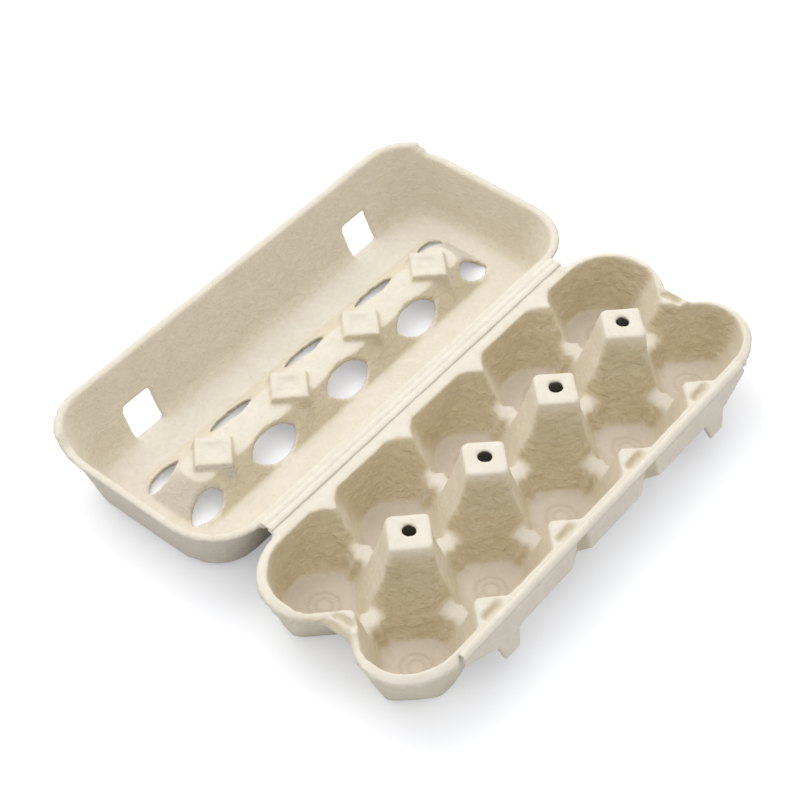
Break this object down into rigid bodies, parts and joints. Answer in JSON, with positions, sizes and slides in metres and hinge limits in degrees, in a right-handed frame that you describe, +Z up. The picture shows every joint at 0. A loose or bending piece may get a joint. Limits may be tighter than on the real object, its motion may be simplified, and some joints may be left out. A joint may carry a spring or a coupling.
{
  "type": "pulp egg tray",
  "caption": "Moulded pulp egg carton lying open: tray of egg cells between hollow posts, drafted lid on a moulded hinge, and a closing flap with nubs that latch in the lid.",
  "frame": {"origin": "middle of the open carton's bounding box, on the table it stands on", "axes": "+X along the carton's length, +Y from the closing flap towards the lid, +Z up"},
  "size_m": [0.2486, 0.212, 0.0444],
  "materials": {
    "tray_pulp": "rough moulded pulp",
    "lid_pulp": "pressed moulded pulp",
    "flap_pulp": "pressed moulded pulp"
  },
  "bodies": {
    "tray": {"tray": "tray_pulp"},
    "lid": {"lid": "lid_pulp"},
    "closing_flap": {"closing_flap": "flap_pulp"}
  },
  "joints": [
    {"name": "lid_hinge", "type": "hinge", "parent": "tray", "child": "lid", "pos_m": [0, -0.00202, 0.03], "axis": [1, 0, 0], "range_deg": [0, 180]},
    {"name": "flap_fold", "type": "hinge", "parent": "tray", "child": "closing_flap", "pos_m": [0, -0.09832, 0.0296], "axis": [-1, 0, 0], "range_deg": [0, 168]}
  ]
}
